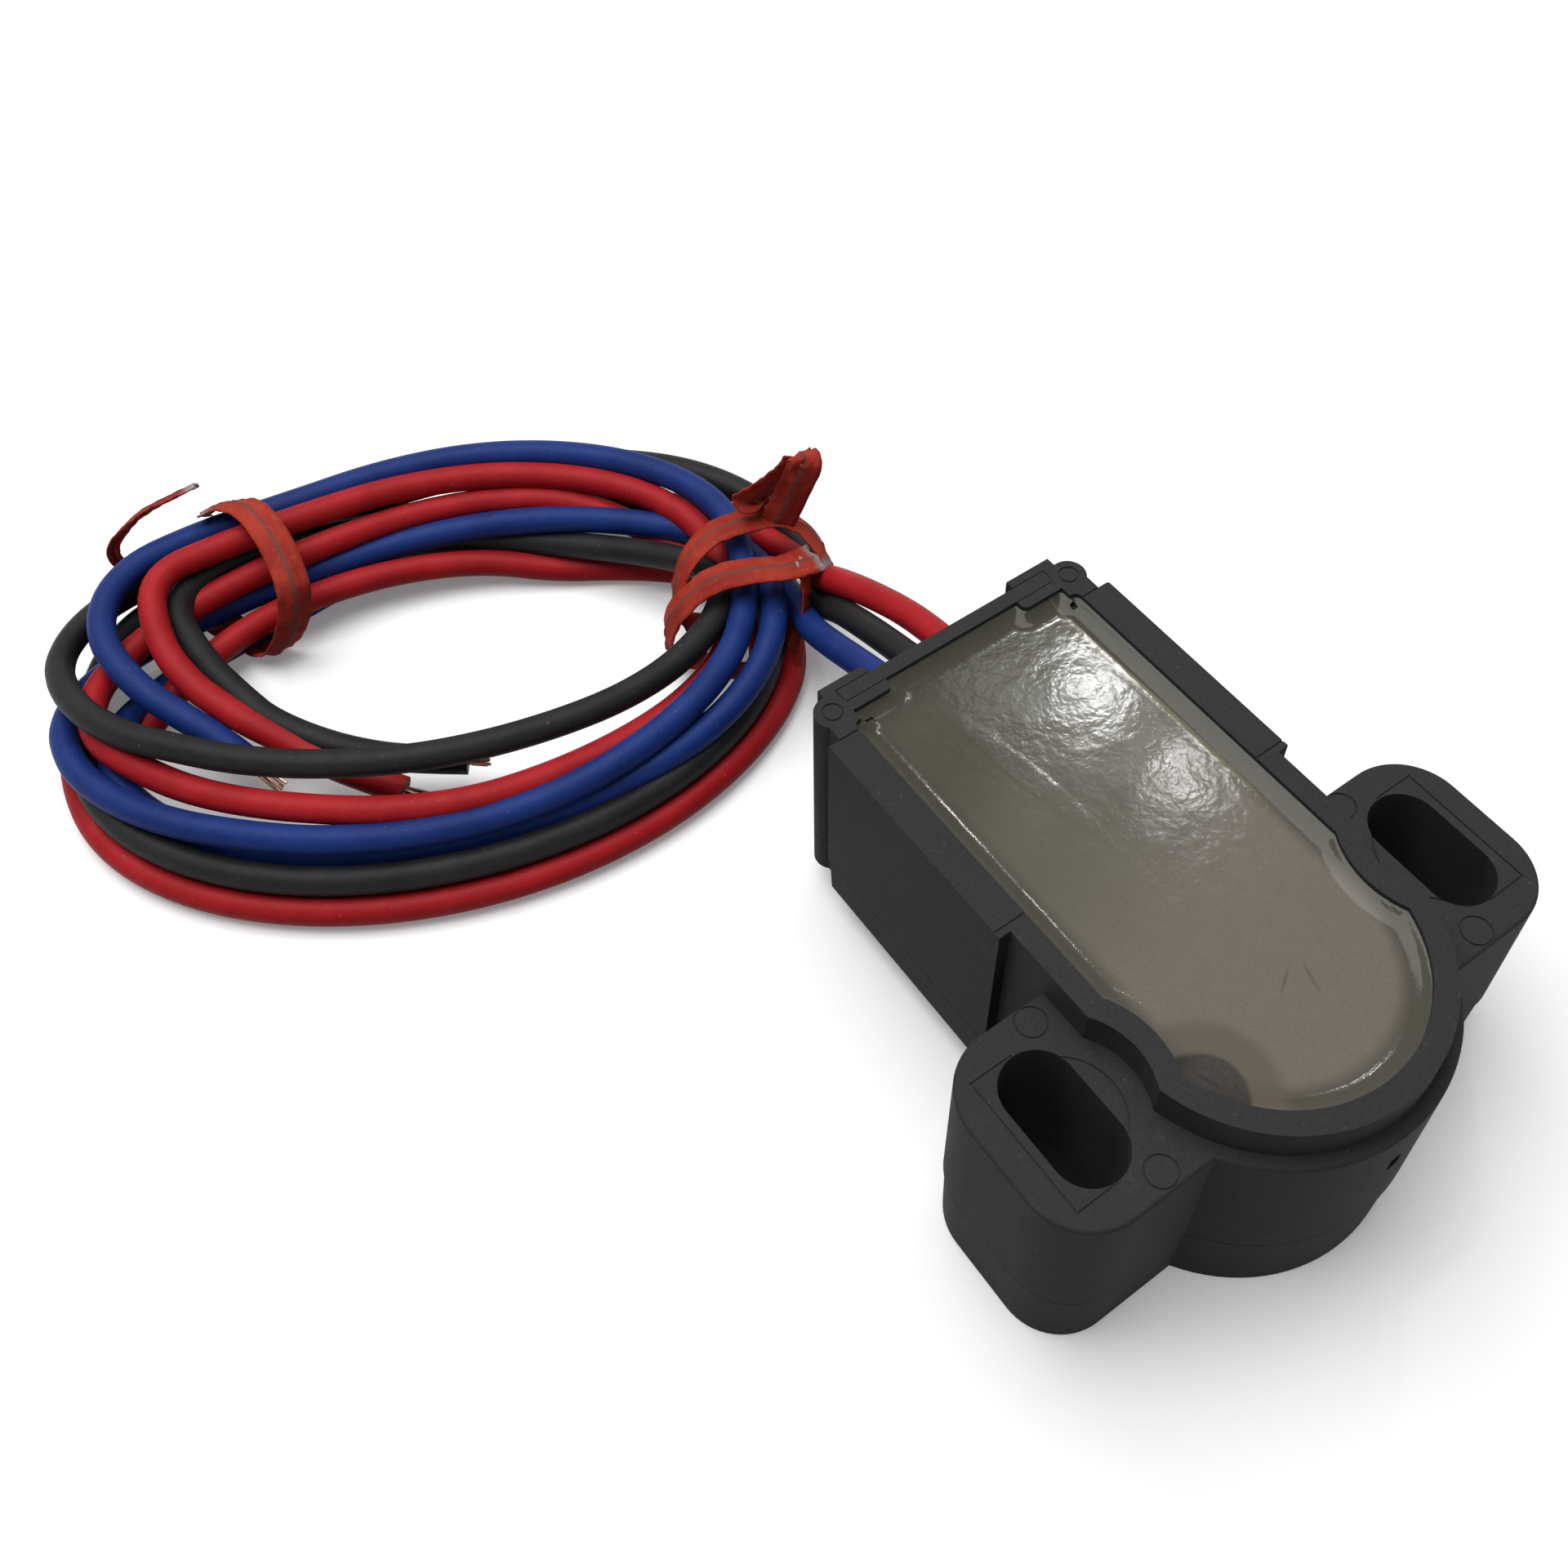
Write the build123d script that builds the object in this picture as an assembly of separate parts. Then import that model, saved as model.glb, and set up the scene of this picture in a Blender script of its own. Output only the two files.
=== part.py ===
from build123d import *
import os
from math import atan2, cos, pi, radians, sin, tan

# Rotary steering angle sensor with a potted cup, three leads and a tied coil of wire.
# Millimetres. The mounting face is z = 0, the rotor turns about the Z axis through the
# origin, the ears lie along X and the leads leave towards +Y.

# Moulded housing, outside
RIM_HEIGHT = 18.4
EAR_HEIGHT = 16.0
BOX_LIFT = 2.4
PARTING_HEIGHT = 5.6
PARTING_STEP = 0.1
DRAFT = 1.5
CUP_WIDTH = 20.8
WALL = 1.4
BOX_SHOULDER = 0.8
BOX_START = 9.3
BOX_END = 25.4
SKIRT_LEDGE = 0.85
EDGE_RADIUS = 0.25

# Mounting ears
SLOT_SPACING = 28.5
SLOT_WIDTH = 4.5
SLOT_LENGTH = 8.5
EAR_SPAN = 37.6
EAR_DEPTH = 12.6
EAR_CORNER = 4.0
WASHER_ROOM = 9.6
SEAT_DIAMETER = 7.0
SEAT_SPAN = 34.3
SEAT_DEPTH = 8.8
WITNESS_SUNK = 0.1
WITNESS_LINE = 0.14
WALL_LINE = 9.8
EJECTOR_DIAMETER = 2.0
EJECTOR_X = 12.1
EJECTOR_Y = 5.2
GATE_WIDTH = 0.9
GATE_HEIGHT = 1.5
GATE_SUNK = 0.3
GATE_TOP = 13.0

# Corner posts and the slide-in wire retainer
POST_OUTER = 10.35
POST_INNER = 8.4
POST_BACK = 28.5
LOBE_DIAMETER = 2.4
LOBE_X = 9.5
POST_EJECTOR = 1.4
RETAINER_THICKNESS = 1.0
RETAINER_FIT = 0.06
TAB_INNER = 5.8
TAB_OUTER = 9.3
TAB_THICKNESS = 0.6
FINGER_INNER = 5.3
FINGER_THICKNESS = 0.75
CORNER_ROUND = 1.0

# Inside of the cup
CUP_FLOOR = 9.0
BOX_FLOOR = 4.0
BOX_CAVITY_START = 12.6
BOARD_BOTTOM = 10.9
BOARD_THICKNESS = 1.0
BOARD_GAP = 0.2
BOARD_END = 25.0
RIB_WIDTH = 1.4
RIB_REACH = 1.3
RIB_PLACES = (15.5, 22.5)
PAD_PLACE = 6.6
PAD_DIAMETER = 2.2
POST_X = -6.6
POST_Y = -2.7
POST_DIAMETER = 4.2
POST_TOP = 16.3
POTTING_TOP = 17.55

# Rotor, bearing and magnet under the cup
CHAMBER_DIAMETER = 13.0
CHAMBER_ROOF = 7.6
ROTOR_PLAY = 0.05
ROTOR_TOP = 7.0
HUB_DIAMETER = 9.8
HUB_PLAY = 0.15
HUB_BOTTOM = 0.0
SOCKET_DIAMETER = 6.0
SOCKET_DEPTH = 4.0
KEY_WIDTH = 1.6
KEY_DEPTH = 0.9
MAGNET_DIAMETER = 7.0
MAGNET_HEIGHT = 2.4
RING_DIAMETER = 16.0
RING_TOP = 1.6
RING_THICKNESS = 1.2
RING_NOTCHES = 6
RING_NOTCH_WIDTH = 1.6
RING_NOTCH_DEPTH = 0.6
WASHER_THICKNESS = 0.5
WASHER_BORE = 8.4
SEAL_DIAMETER = 19.2
SEAL_SECTION = 1.2
SEAL_GROOVE = 1.3

# Board components
CHIP_LENGTH = 4.9
CHIP_WIDTH = 3.9
CHIP_HEIGHT = 1.4
CHIP_SPAN = 6.0
CHIP_PITCH = 1.27
CHIP_LEADS = 4
CHIP_LEAD_WIDTH = 0.42
CHIP_LEAD_THICKNESS = 0.2
SUPPLY_CAPACITOR = (3.2, 1.6, 1.6)
OUTPUT_CAPACITOR = (2.0, 1.25, 1.2)
OUTPUT_RESISTOR = (3.1, 1.55, 0.6)
SURGE_DIODE = (4.3, 2.6, 2.1)
SUPPLY_CAPACITOR_AT = (-4.2, 9.0)
OUTPUT_CAPACITOR_AT = (3.6, 8.4)
OUTPUT_RESISTOR_AT = (3.6, 11.6)
SURGE_DIODE_AT = (-4.0, 13.6)
END_CAP = 0.45

# Leads, coil and ties
LEAD_DIAMETER = 2.06
LEAD_HOLE = 2.2
LEAD_PITCH = 2.6
LEAD_HEIGHT = 13.0
LEAD_START = 24.4
CORE_DIAMETER = 1.0
CORE_LENGTH = 1.6
SOLDER_DIAMETER = 2.2
SOLDER_HEIGHT = 1.7
COIL_CENTRE = (-24.1, 55.6)
COIL_TURN = -19.8
COIL_LENGTH = 56.6
COIL_BREADTH = 38.2
COIL_END_RADIUS = 14.6
COIL_BAND = 9.4
COIL_BOTTOM = 0.45
COIL_TOP = 8.4
COIL_ROUND = 2.6
TIE_WIDTH = 2.7
TIE_THICKNESS = 0.3
TIE_GAP = 0.1
TIE_SIDE_GAP = 0.2
LEFT_TIE_ANGLE = -26.0
RIGHT_TIE_ANGLE = 8.0

# Places worked out from the sizes above
CUP_RADIUS = CUP_WIDTH / 2
CAVITY_RADIUS = CUP_RADIUS - WALL
BOX_WIDTH = CUP_WIDTH + 2 * BOX_SHOULDER
SKIRT_RADIUS = CUP_RADIUS + SKIRT_LEDGE
SLOT_X = SLOT_SPACING / 2
BUMP_RADIUS = WASHER_ROOM / 2 + WALL
RETAINER_BACK = POST_BACK
RETAINER_FRONT = RETAINER_BACK - RETAINER_THICKNESS
FINGER_BACK = RETAINER_FRONT - RETAINER_FIT
BOARD_TOP = BOARD_BOTTOM + BOARD_THICKNESS
LEAD_XS = {"red": LEAD_PITCH, "black": 0.0, "blue": -LEAD_PITCH}
ROUTES = {
    "red": [(29.6, 0.0, 0.0), (35.0, 0.1, -1.1), (40.4, -0.1, -4.0), (45.2, -1.8, -7.0)],
    "black": [(29.6, 0.0, 0.0), (35.0, 0.0, -1.4), (40.2, -0.1, -5.0), (45.0, -1.0, -8.4)],
    "blue": [(29.6, 0.0, 0.0), (34.6, 0.0, -1.8), (39.0, 0.2, -5.8), (43.2, 0.0, -9.4)],
}


def prism(sketch, bottom, top):
    """A flat outline raised straight from one height to another."""
    return extrude(Pos(0, 0, bottom) * sketch, top - bottom)


def block(x0, x1, y0, y1, z0, z1):
    """A box between two corners."""
    return Pos((x0 + x1) / 2, (y0 + y1) / 2, (z0 + z1) / 2) * Box(x1 - x0, y1 - y0, z1 - z0)


def rod(x, y, diameter, bottom, top):
    """An upright round bar."""
    return Pos(x, y, (bottom + top) / 2) * Cylinder(diameter / 2, top - bottom)


def both_sides(shape):
    """A shape and its mirror image across the YZ plane."""
    return shape + mirror(shape, about=Plane.YZ)


def u_outline(radius, end):
    """A round front end about the rotor axis that runs straight back to y = end."""
    return Circle(radius) + Pos(0, end / 2) * Rectangle(2 * radius, end)


def drafted(sketch, bottom):
    """The part of an outline below the parting line, a little smaller and drawn in."""
    lower = offset(sketch, -PARTING_STEP)
    return extrude(Pos(0, 0, PARTING_HEIGHT) * lower, bottom - PARTING_HEIGHT, taper=DRAFT)


def finger_sketch():
    """The inner finger beside the retainer's right-hand end, seen from above."""
    outer = POST_INNER + FINGER_THICKNESS
    finger = Pos((FINGER_INNER + outer) / 2, FINGER_BACK - FINGER_THICKNESS / 2) * Rectangle(
        outer - FINGER_INNER, FINGER_THICKNESS
    )
    tip = finger.vertices().sort_by(lambda v: v.X + v.Y)[0]
    return fillet(tip, FINGER_THICKNESS * 0.6)


def post_sketch():
    """The right-hand corner post with its round lobe and outer tab, seen from above."""
    body = Pos((POST_INNER + POST_OUTER) / 2, (BOX_END + POST_BACK) / 2) * Rectangle(
        POST_OUTER - POST_INNER, POST_BACK - BOX_END
    )
    corner = body.vertices().sort_by(lambda v: v.X + v.Y)[-1]
    body = fillet(corner, POST_OUTER - LOBE_X)
    lobe = Pos(LOBE_X, POST_BACK - LOBE_DIAMETER / 2) * Circle(LOBE_DIAMETER / 2)
    tab_front = RETAINER_BACK + RETAINER_FIT
    tab = Pos((TAB_INNER + TAB_OUTER) / 2, tab_front + TAB_THICKNESS / 2) * Rectangle(
        TAB_OUTER - TAB_INNER, TAB_THICKNESS
    )
    neck = Pos((POST_INNER + TAB_OUTER) / 2, POST_BACK) * Rectangle(TAB_OUTER - POST_INNER, 4 * RETAINER_FIT)
    return body + lobe + tab + neck


def cavity(bottom, top):
    """The potting space of the cup, with the washer reliefs standing into it."""
    outline = u_outline(CAVITY_RADIUS, BOX_END)
    outline += Pos(0, (BOX_END + FINGER_BACK) / 2) * Rectangle(2 * POST_INNER, FINGER_BACK - BOX_END)
    outline += both_sides(Pos(CAVITY_RADIUS - CORNER_ROUND / 2, BOX_END) * Circle(CORNER_ROUND / 2))
    outline -= both_sides(Pos(SLOT_X, 0) * Circle(BUMP_RADIUS))
    outline -= both_sides(finger_sketch())
    return prism(outline, bottom, top)


def board_ribs():
    """Ribs and pads of the housing that the board rests on."""
    shape = rod(0, -PAD_PLACE, PAD_DIAMETER, CUP_FLOOR, BOARD_BOTTOM)
    for y in RIB_PLACES:
        inner = CAVITY_RADIUS - RIB_REACH
        rib = block(inner, CUP_RADIUS, y - RIB_WIDTH / 2, y + RIB_WIDTH / 2, BOX_FLOOR, BOARD_BOTTOM)
        shape += both_sides(rib)
    return shape


def outlined(sketch):
    """The fine line round a flat outline."""
    return sketch - offset(sketch, -WITNESS_LINE)


def insert_marks():
    """Fine witness lines of the mould inserts and ejector pins on the right-hand half."""
    half = SEAT_SPAN / 2 - SLOT_X
    inner_half = Pos(-SEAT_DIAMETER / 2, 0) * Rectangle(SEAT_DIAMETER, SEAT_DIAMETER)
    seat = (Circle(SEAT_DIAMETER / 2) & inner_half) + Pos(half / 2, 0) * Rectangle(half, SEAT_DEPTH)
    marks = prism(Pos(SLOT_X, 0) * outlined(seat), EAR_HEIGHT - WITNESS_SUNK, EAR_HEIGHT)
    for y in (-EJECTOR_Y, EJECTOR_Y):
        ring = Pos(EJECTOR_X, y) * outlined(Circle(EJECTOR_DIAMETER / 2))
        marks += prism(ring, EAR_HEIGHT - WITNESS_SUNK, EAR_HEIGHT)
    ring = Pos(LOBE_X, POST_BACK - LOBE_DIAMETER / 2) * outlined(Circle(POST_EJECTOR / 2))
    marks += prism(ring, RIM_HEIGHT - WITNESS_SUNK, RIM_HEIGHT)
    for y in (WALL_LINE, BOX_END):
        marks += block(CAVITY_RADIUS, BOX_WIDTH / 2, y - WITNESS_LINE, y, RIM_HEIGHT - WITNESS_SUNK, RIM_HEIGHT)
    return both_sides(marks)


def housing_outside():
    """Skirt, ears, box and cup as one moulded body, before anything is cut out of it."""
    ears = RectangleRounded(EAR_SPAN, EAR_DEPTH, EAR_CORNER)
    skirt = Circle(SKIRT_RADIUS)
    length = BOX_END - BOX_START
    box = Pos(0, BOX_START + length / 2) * Rectangle(BOX_WIDTH, length)
    body = prism(ears + skirt, PARTING_HEIGHT, EAR_HEIGHT)
    body = fillet(body.faces().sort_by(Axis.Z)[-1].edges(), EDGE_RADIUS)
    body += drafted(ears, 0) + drafted(skirt, 0)
    body += prism(box, PARTING_HEIGHT, RIM_HEIGHT) + drafted(box, BOX_LIFT)
    body += prism(u_outline(CUP_RADIUS, BOX_END), BOX_LIFT, RIM_HEIGHT)
    body += both_sides(prism(post_sketch(), BOX_LIFT, RIM_HEIGHT))
    back_wall = block(-POST_INNER, POST_INNER, BOX_END, POST_BACK, BOX_LIFT, CUP_FLOOR)
    return body + back_wall


def make_housing():
    body = housing_outside()
    body -= both_sides(rod(SLOT_X, 0, WASHER_ROOM, EAR_HEIGHT, RIM_HEIGHT + 1))
    deep = block(-CUP_WIDTH, CUP_WIDTH, BOX_CAVITY_START, BOX_END - WALL, BOX_FLOOR, CUP_FLOOR)
    body -= cavity(CUP_FLOOR, RIM_HEIGHT + 1)
    body -= cavity(BOX_FLOOR, CUP_FLOOR) & deep
    body += both_sides(prism(finger_sketch(), CUP_FLOOR, RIM_HEIGHT))
    body += board_ribs()
    body += rod(POST_X, POST_Y, POST_DIAMETER, CUP_FLOOR, POST_TOP)
    slot = Pos(SLOT_X, 0) * SlotOverall(SLOT_LENGTH, SLOT_WIDTH, rotation=90)
    body -= both_sides(prism(slot, -1, EAR_HEIGHT + 1))
    body -= insert_marks()
    gate = Rot(90, 0, 0) * extrude(SlotOverall(GATE_HEIGHT, GATE_WIDTH, rotation=90), WALL)
    body -= Pos(0, GATE_SUNK - SKIRT_RADIUS, GATE_TOP - GATE_HEIGHT / 2) * gate
    body -= rod(0, 0, CHAMBER_DIAMETER, -1, CHAMBER_ROOF)
    body -= rod(0, 0, RING_DIAMETER, -1, RING_TOP)
    groove = Circle(SEAL_DIAMETER / 2 + SEAL_GROOVE / 2) - Circle(SEAL_DIAMETER / 2 - SEAL_GROOVE / 2)
    body -= prism(groove, -1, SEAL_SECTION)
    return body


def make_wire_retainer():
    """The end plate that slides down between the posts, with a hole for each lead."""
    half = POST_INNER - RETAINER_FIT
    plate = block(-half, half, RETAINER_FRONT, RETAINER_BACK, CUP_FLOOR, RIM_HEIGHT)
    for x in LEAD_XS.values():
        middle = (RETAINER_FRONT + RETAINER_BACK) / 2
        hole = Pos(x, middle, LEAD_HEIGHT) * Rot(90, 0, 0) * Cylinder(LEAD_HOLE / 2, 2 * RETAINER_THICKNESS)
        plate -= hole
    return plate


def make_circuit_board():
    outline = offset(u_outline(CAVITY_RADIUS, BOARD_END), -BOARD_GAP)
    outline -= both_sides(Pos(SLOT_X, 0) * Circle(BUMP_RADIUS + BOARD_GAP))
    outline -= Pos(POST_X, POST_Y) * Circle(POST_DIAMETER / 2 + BOARD_GAP)
    return prism(outline, BOARD_BOTTOM, BOARD_TOP)


def make_hall_chip():
    """The sensing chip under the board, right above the magnet, with its bent leads."""
    top = BOARD_BOTTOM - CHIP_LEAD_THICKNESS / 2
    body = block(-CHIP_LENGTH / 2, CHIP_LENGTH / 2, -CHIP_WIDTH / 2, CHIP_WIDTH / 2, top - CHIP_HEIGHT, top)
    middle = top - CHIP_HEIGHT / 2
    first = -CHIP_PITCH * (CHIP_LEADS - 1) / 2
    knee = (CHIP_WIDTH + CHIP_SPAN) / 4
    for i in range(CHIP_LEADS):
        x = first + i * CHIP_PITCH
        x0, x1 = x - CHIP_LEAD_WIDTH / 2, x + CHIP_LEAD_WIDTH / 2
        for side in (-1, 1):
            near, bend, far = sorted([0.0, side * knee, side * CHIP_SPAN / 2])[:: side]
            arm = block(x0, x1, min(near, bend), max(near, bend), middle, middle + CHIP_LEAD_THICKNESS)
            inner = bend - side * CHIP_LEAD_THICKNESS
            leg = block(x0, x1, min(inner, bend), max(inner, bend), middle, BOARD_BOTTOM)
            foot = block(x0, x1, min(inner, far), max(inner, far), BOARD_BOTTOM - CHIP_LEAD_THICKNESS, BOARD_BOTTOM)
            body += arm + leg + foot
    return body


def make_chip_component(size, at):
    """A surface-mounted block with a raised metal cap on each end."""
    length, width, height = size
    skin = 0.04
    body = block(-length / 2, length / 2, -width / 2 + skin, width / 2 - skin, 0, height - skin)
    cap = block(length / 2 - END_CAP, length / 2, -width / 2, width / 2, 0, height)
    return Pos(at[0], at[1], BOARD_TOP) * (body + both_sides(cap))


def make_solder_joints():
    """A solder mound on the board for each lead, with the tinned core running into it."""
    joints = []
    mound_at = LEAD_START - CORE_LENGTH
    for x in LEAD_XS.values():
        mound = Pos(x, mound_at, BOARD_TOP + SOLDER_HEIGHT / 2) * Cone(
            SOLDER_DIAMETER / 2, CORE_DIAMETER / 2, SOLDER_HEIGHT
        )
        core = Pos(x, (LEAD_START + mound_at) / 2, LEAD_HEIGHT) * Rot(90, 0, 0) * Cylinder(
            CORE_DIAMETER / 2, CORE_LENGTH
        )
        joints.append(mound + core)
    return Compound(children=[joint.solid() for joint in joints])


def make_rotor():
    """The turning hub: a bearing flange, a drive socket with a keyway and a magnet pocket."""
    flange = rod(0, 0, CHAMBER_DIAMETER - 2 * ROTOR_PLAY, RING_TOP + ROTOR_PLAY, ROTOR_TOP)
    hub = rod(0, 0, HUB_DIAMETER, HUB_BOTTOM, RING_TOP + 1)
    body = flange + hub
    body -= rod(0, 0, SOCKET_DIAMETER, HUB_BOTTOM - 1, HUB_BOTTOM + SOCKET_DEPTH)
    key_end = SOCKET_DIAMETER / 2 + KEY_DEPTH
    body -= block(-KEY_WIDTH / 2, KEY_WIDTH / 2, 0, key_end, HUB_BOTTOM - 1, HUB_BOTTOM + SOCKET_DEPTH)
    body -= rod(0, 0, MAGNET_DIAMETER, ROTOR_TOP - MAGNET_HEIGHT, ROTOR_TOP + 1)
    return body


def make_rotor_retainer():
    """The notched ring pressed into the mounting face, which keeps the rotor in."""
    bore = HUB_DIAMETER + 2 * HUB_PLAY
    ring = Circle(RING_DIAMETER / 2) - Circle(bore / 2)
    for i in range(RING_NOTCHES):
        notch = Pos(bore / 2, 0) * Rectangle(2 * RING_NOTCH_DEPTH, RING_NOTCH_WIDTH)
        ring -= Rot(0, 0, 360 * (i + 0.5) / RING_NOTCHES) * notch
    return prism(ring, RING_TOP - RING_THICKNESS, RING_TOP)


def make_thrust_washer():
    bottom = (ROTOR_TOP + CHAMBER_ROOF - WASHER_THICKNESS) / 2
    ring = Circle(CHAMBER_DIAMETER / 2 - 2 * ROTOR_PLAY) - Circle(WASHER_BORE / 2)
    return prism(ring, bottom, bottom + WASHER_THICKNESS)


def make_seal_ring():
    return Pos(0, 0, SEAL_SECTION / 2) * Torus(SEAL_DIAMETER / 2, SEAL_SECTION / 2)


def lead_route(colour):
    """The points that a lead's middle follows from its solder joint into the coil."""
    x = LEAD_XS[colour]
    return [(x, LEAD_START, LEAD_HEIGHT)] + [(x + dx, y, LEAD_HEIGHT + dz) for y, dx, dz in ROUTES[colour]]


def corner_radii(points):
    """The largest even arc at each corner of a route."""
    spots = [Vector(*point) for point in points]
    radii = []
    for before, corner, after in zip(spots, spots[1:], spots[2:]):
        turn = (corner - before).get_angle(after - corner)
        shorter = min((corner - before).length, (after - corner).length)
        radii.append(0.45 * shorter / tan(radians(turn) / 2))
    return radii


def make_lead(colour, coil):
    points = lead_route(colour)
    radii = corner_radii(points)
    path = FilletPolyline(*points, radius=radii)
    tube = sweep(Plane(path @ 0, z_dir=path % 0) * Circle(LEAD_DIAMETER / 2), path=path)
    print(colour, "radii", [round(r, 1) for r in radii], "length", round(path.length, 1), "volume",
          round(tube.volume, 1), "section times length", round(path.length * pi * LEAD_DIAMETER**2 / 4, 1))
    return tube - coil


def oval(length, breadth, end_radius):
    """A smooth oval of four arcs that meet tangentially."""
    reach = length / 2 - end_radius
    rise = breadth / 2 - end_radius
    drop = (reach**2 - rise**2) / (2 * rise)
    side_radius = drop + breadth / 2
    angle = atan2(drop, reach)
    joint_x = reach + end_radius * cos(angle)
    joint_y = end_radius * sin(angle)
    right = ThreePointArc((joint_x, -joint_y), (length / 2, 0), (joint_x, joint_y))
    top = ThreePointArc((joint_x, joint_y), (0, side_radius - drop), (-joint_x, joint_y))
    left = ThreePointArc((-joint_x, joint_y), (-length / 2, 0), (-joint_x, -joint_y))
    bottom = ThreePointArc((-joint_x, -joint_y), (0, drop - side_radius), (joint_x, -joint_y))
    return make_face([right, top, left, bottom])


def coil_place():
    return Pos(COIL_CENTRE[0], COIL_CENTRE[1]) * Rot(0, 0, COIL_TURN)


def make_wire_coil():
    """The outer shape of the loose coil of all three wires."""
    outer = oval(COIL_LENGTH, COIL_BREADTH, COIL_END_RADIUS)
    inner = oval(COIL_LENGTH - 2 * COIL_BAND, COIL_BREADTH - 2 * COIL_BAND, COIL_END_RADIUS - COIL_BAND)
    ring = prism(outer - inner, COIL_BOTTOM, COIL_TOP)
    return coil_place() * fillet(ring.edges().filter_by(lambda e: abs(e.center().Z - COIL_BOTTOM) < 0.01)
                                 + ring.edges().filter_by(lambda e: abs(e.center().Z - COIL_TOP) < 0.01), COIL_ROUND)


def oval_middle(on_end, angle):
    """A point on the middle line of the coil's band and the way the wires run there.

    The angle is measured about the middle of the arc at the right end, or of the far side.
    """
    reach = COIL_LENGTH / 2 - COIL_END_RADIUS
    rise = COIL_BREADTH / 2 - COIL_END_RADIUS
    drop = (reach**2 - rise**2) / (2 * rise)
    t = radians(angle)
    if on_end:
        radius = COIL_END_RADIUS - COIL_BAND / 2
        return Vector(reach + radius * cos(t), radius * sin(t)), Vector(-sin(t), cos(t))
    radius = drop + (COIL_BREADTH - COIL_BAND) / 2
    return Vector(radius * sin(t), radius * cos(t) - drop), Vector(cos(t), -sin(t))


def make_twist_tie(on_end, angle):
    """A paper band round the coil, across the run of its wires."""
    spot, along = oval_middle(on_end, angle)
    middle = spot + Vector(0, 0, (COIL_BOTTOM + COIL_TOP) / 2)
    band = Plane(middle, x_dir=along.cross(Vector(0, 0, 1)), z_dir=along)
    width = COIL_BAND + 2 * TIE_SIDE_GAP
    height = COIL_TOP - COIL_BOTTOM + 2 * TIE_GAP
    inner = RectangleRounded(width, height, COIL_ROUND)
    outer = offset(inner, TIE_THICKNESS)
    return coil_place() * extrude(band * (outer - inner), TIE_WIDTH / 2, both=True)


def main():
    os.makedirs("parts", exist_ok=True)
    housing = make_housing()
    coil = make_wire_coil()
    parts = {
        "housing": housing,
        "wire_retainer": make_wire_retainer(),
        "circuit_board": make_circuit_board(),
        "hall_chip": make_hall_chip(),
        "supply_capacitor": make_chip_component(SUPPLY_CAPACITOR, SUPPLY_CAPACITOR_AT),
        "output_capacitor": make_chip_component(OUTPUT_CAPACITOR, OUTPUT_CAPACITOR_AT),
        "output_resistor": make_chip_component(OUTPUT_RESISTOR, OUTPUT_RESISTOR_AT),
        "surge_diode": make_chip_component(SURGE_DIODE, SURGE_DIODE_AT),
        "solder_joints": make_solder_joints(),
    }
    leads = {f"lead_{colour}": make_lead(colour, coil) for colour in ROUTES}
    potting = cavity(CUP_FLOOR, POTTING_TOP)
    deep = block(-CUP_WIDTH, CUP_WIDTH, BOX_CAVITY_START, BOX_END - WALL, BOX_FLOOR, CUP_FLOOR)
    potting += cavity(BOX_FLOOR, CUP_FLOOR) & deep
    for piece in [*parts.values(), *leads.values()]:
        potting -= piece
    parts["potting"] = potting
    parts["rotor"] = make_rotor()
    parts["magnet"] = rod(0, 0, MAGNET_DIAMETER, ROTOR_TOP - MAGNET_HEIGHT, ROTOR_TOP)
    parts["rotor_retainer"] = make_rotor_retainer()
    parts["thrust_washer"] = make_thrust_washer()
    parts["seal_ring"] = make_seal_ring()
    parts.update(leads)
    parts["wire_coil"] = coil
    parts["twist_tie_left"] = make_twist_tie(False, LEFT_TIE_ANGLE)
    parts["twist_tie_right"] = make_twist_tie(True, RIGHT_TIE_ANGLE)
    for name, part in parts.items():
        export_step(part, f"parts/{name}.step")


main()
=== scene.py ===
# Steering angle sensor: potted cup, slotted ears and three leads wound into a tied coil.
import math

import bmesh
import bpy
from mathutils import Matrix, Vector, noise
from mathutils.bvhtree import BVHTree


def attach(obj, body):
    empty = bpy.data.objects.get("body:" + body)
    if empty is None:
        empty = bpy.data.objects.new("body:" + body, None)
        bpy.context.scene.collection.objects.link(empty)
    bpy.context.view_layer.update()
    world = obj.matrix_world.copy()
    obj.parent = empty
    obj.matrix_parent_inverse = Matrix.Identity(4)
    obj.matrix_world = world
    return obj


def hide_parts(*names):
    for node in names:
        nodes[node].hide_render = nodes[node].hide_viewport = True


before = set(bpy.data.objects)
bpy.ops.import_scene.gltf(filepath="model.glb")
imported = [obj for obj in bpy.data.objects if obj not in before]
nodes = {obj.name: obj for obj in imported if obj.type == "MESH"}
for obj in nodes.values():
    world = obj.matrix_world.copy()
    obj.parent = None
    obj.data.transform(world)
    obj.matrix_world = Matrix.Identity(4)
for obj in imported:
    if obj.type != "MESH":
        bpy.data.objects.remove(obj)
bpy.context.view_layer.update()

MM = 0.001


# Finishes

class Value:
    """A shader socket that takes part in Python arithmetic."""

    def __init__(self, finish, socket):
        self.finish = finish
        self.socket = socket

    def _math(self, operation, first, second=0.0):
        return self.finish.node("ShaderNodeMath", {"operation": operation}, {0: first, 1: second})

    def __add__(self, other):
        return self._math("ADD", self, other)

    __radd__ = __add__

    def __sub__(self, other):
        return self._math("SUBTRACT", self, other)

    def __rsub__(self, other):
        return self._math("SUBTRACT", other, self)

    def __mul__(self, other):
        return self._math("MULTIPLY", self, other)

    __rmul__ = __mul__

    def __abs__(self):
        return self._math("ABSOLUTE", self)

    def least(self, other):
        return self._math("MINIMUM", self, other)


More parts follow.
